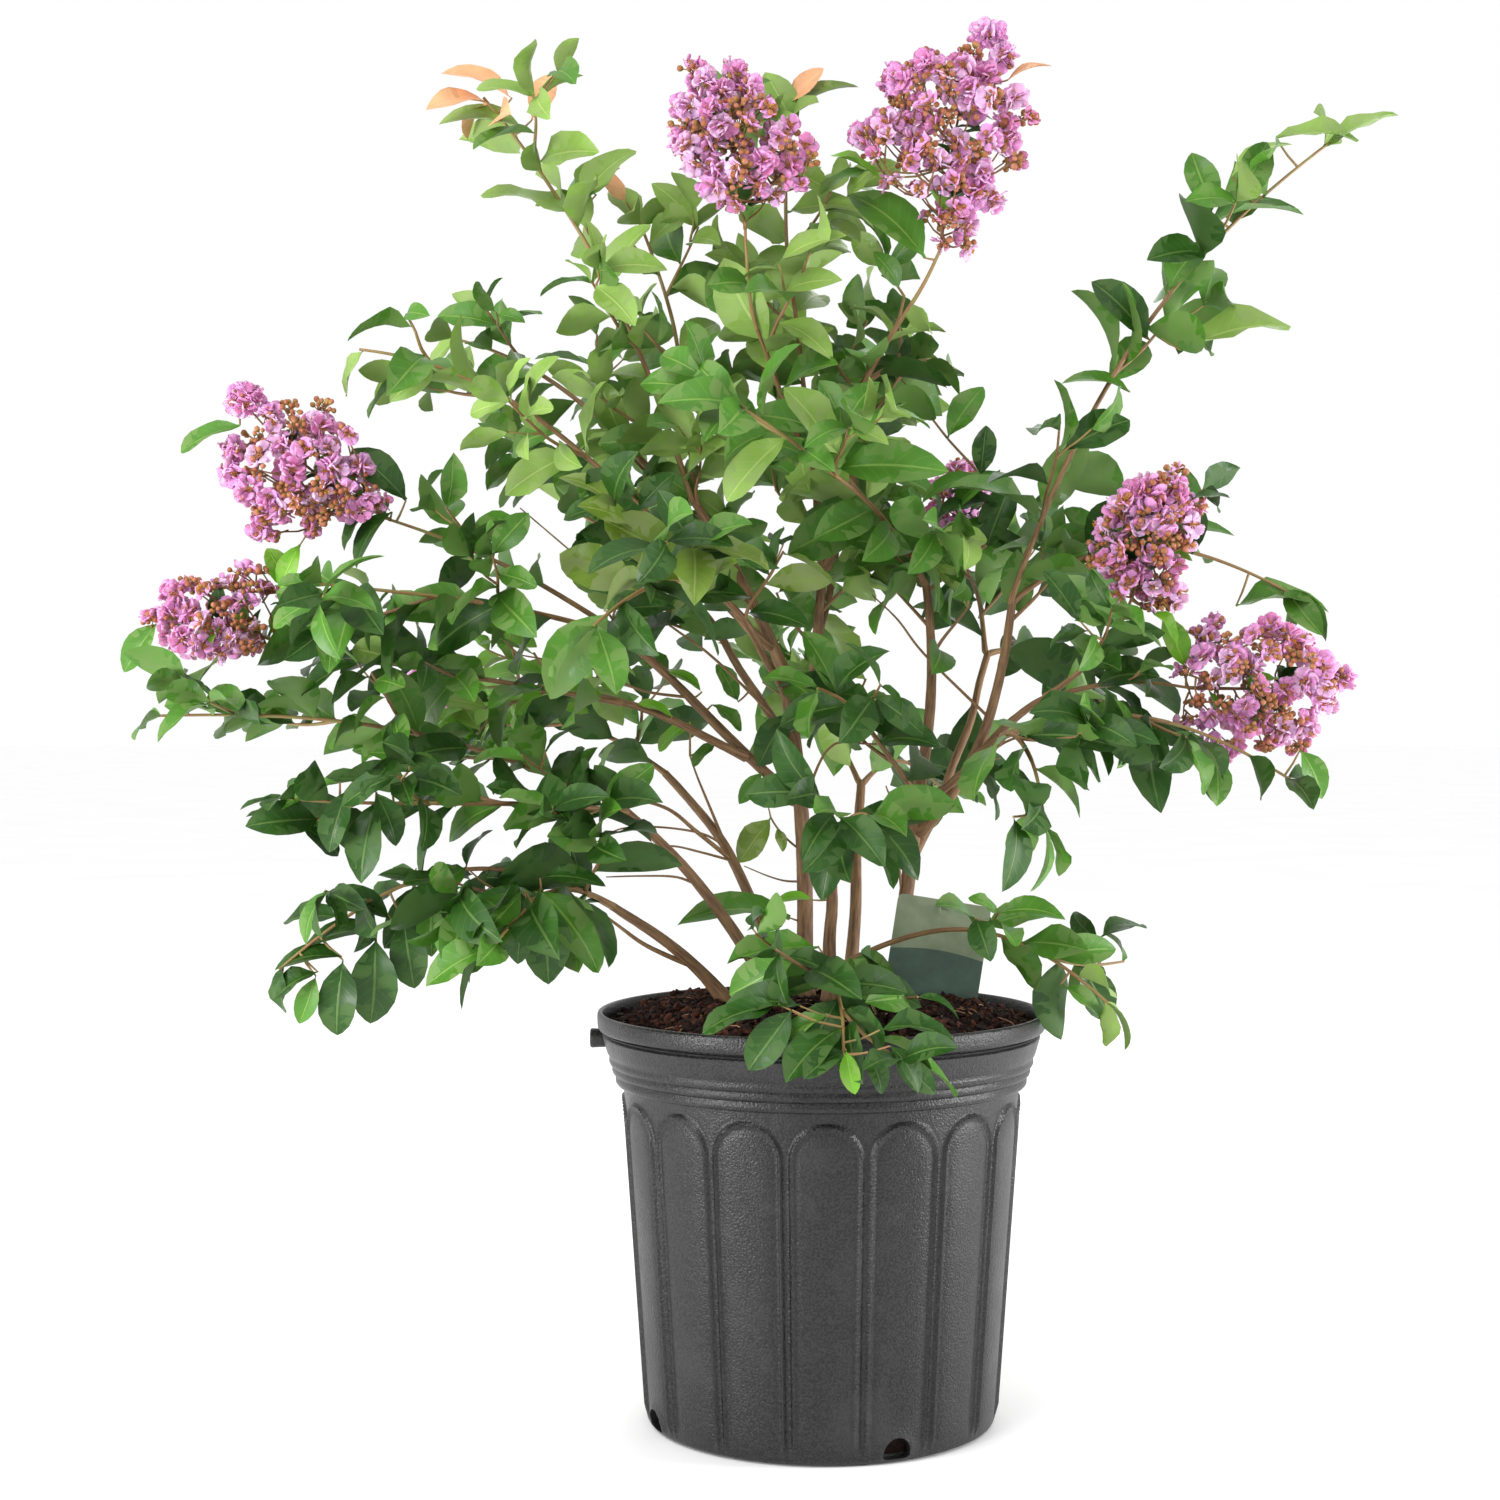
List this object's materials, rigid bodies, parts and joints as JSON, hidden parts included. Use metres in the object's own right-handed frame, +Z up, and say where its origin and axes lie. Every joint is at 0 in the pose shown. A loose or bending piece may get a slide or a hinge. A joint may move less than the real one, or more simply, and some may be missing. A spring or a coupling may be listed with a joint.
{
  "type": "potted crape myrtle",
  "caption": "Young crape myrtle shrub in flower, with arching leafy stems and lavender-pink panicles, standing in a ribbed black nursery container of soil with a bare label.",
  "frame": {"origin": "centre of the container's flat underside", "axes": "+Z up, along the stems; -Y towards the plant's best side; +X to its right as seen from -Y"},
  "size_m": [0.7691, 0.5117, 0.8455],
  "materials": {
    "pot_plastic": "satin black moulded polyethylene with a fine pebbled grain",
    "potting_mix": "moist dark reddish-brown bark and peat crumbs with pale fibres",
    "tag_plastic": "thin semi-gloss card, pale grey-green above and dark green below",
    "bark": "thin smooth grey-brown bark, redder on young wood",
    "leaves": "semi-gloss green leaves on green and reddish twigs",
    "blossom": "crinkled lavender-pink petals with copper-brown buds"
  },
  "bodies": {
    "root": {"pot": "pot_plastic", "soil": "potting_mix", "plant_tag": "tag_plastic", "stem_centre": "bark", "stem_right": "bark", "stem_front": "bark", "stem_left": "bark", "stem_fan": "bark", "stem_fan_back": "bark", "stem_back": "bark", "bough_top_left": "bark", "bough_top_centre": "bark", "bough_top_right": "bark", "bough_left_long": "bark", "bough_left_mid": "bark", "bough_left_high": "bark", "bough_left_crown": "bark", "bough_centre_front": "bark", "bough_right_upright": "bark", "bough_right_long": "bark", "bough_right_outer": "bark", "bough_right_low": "bark", "bough_back_left": "bark", "bough_back_high": "bark", "bough_back_right": "bark", "spray_top_left": "leaves", "spray_crown_left": "leaves", "spray_top_centre": "leaves", "spray_bloom_top": "blossom", "spray_bloom_top_right": "blossom", "spray_crown_right": "leaves", "spray_right_top": "leaves", "spray_right_outer": "leaves", "spray_bloom_right": "blossom", "spray_bloom_right_low": "blossom", "spray_right_low": "leaves", "spray_right_drop": "leaves", "spray_left_high": "leaves", "spray_left_crown": "leaves", "spray_bloom_left": "blossom", "spray_left_front": "leaves", "spray_bloom_left_low": "blossom", "spray_left_inner": "leaves", "spray_left_wide": "leaves", "spray_left_low": "leaves", "spray_left_droop": "leaves", "spray_left_foot": "leaves", "spray_front_low": "leaves", "spray_front_rim": "leaves", "spray_right_foot": "leaves", "spray_centre_front": "leaves", "spray_centre_red": "leaves", "spray_centre_low": "leaves", "spray_back_left": "leaves", "spray_back_high": "leaves", "spray_back_right": "blossom", "spray_back_right_low": "leaves", "spray_back_left_low": "blossom", "spray_back_centre": "leaves", "spray_back_low": "leaves"}
  },
  "joints": []
}
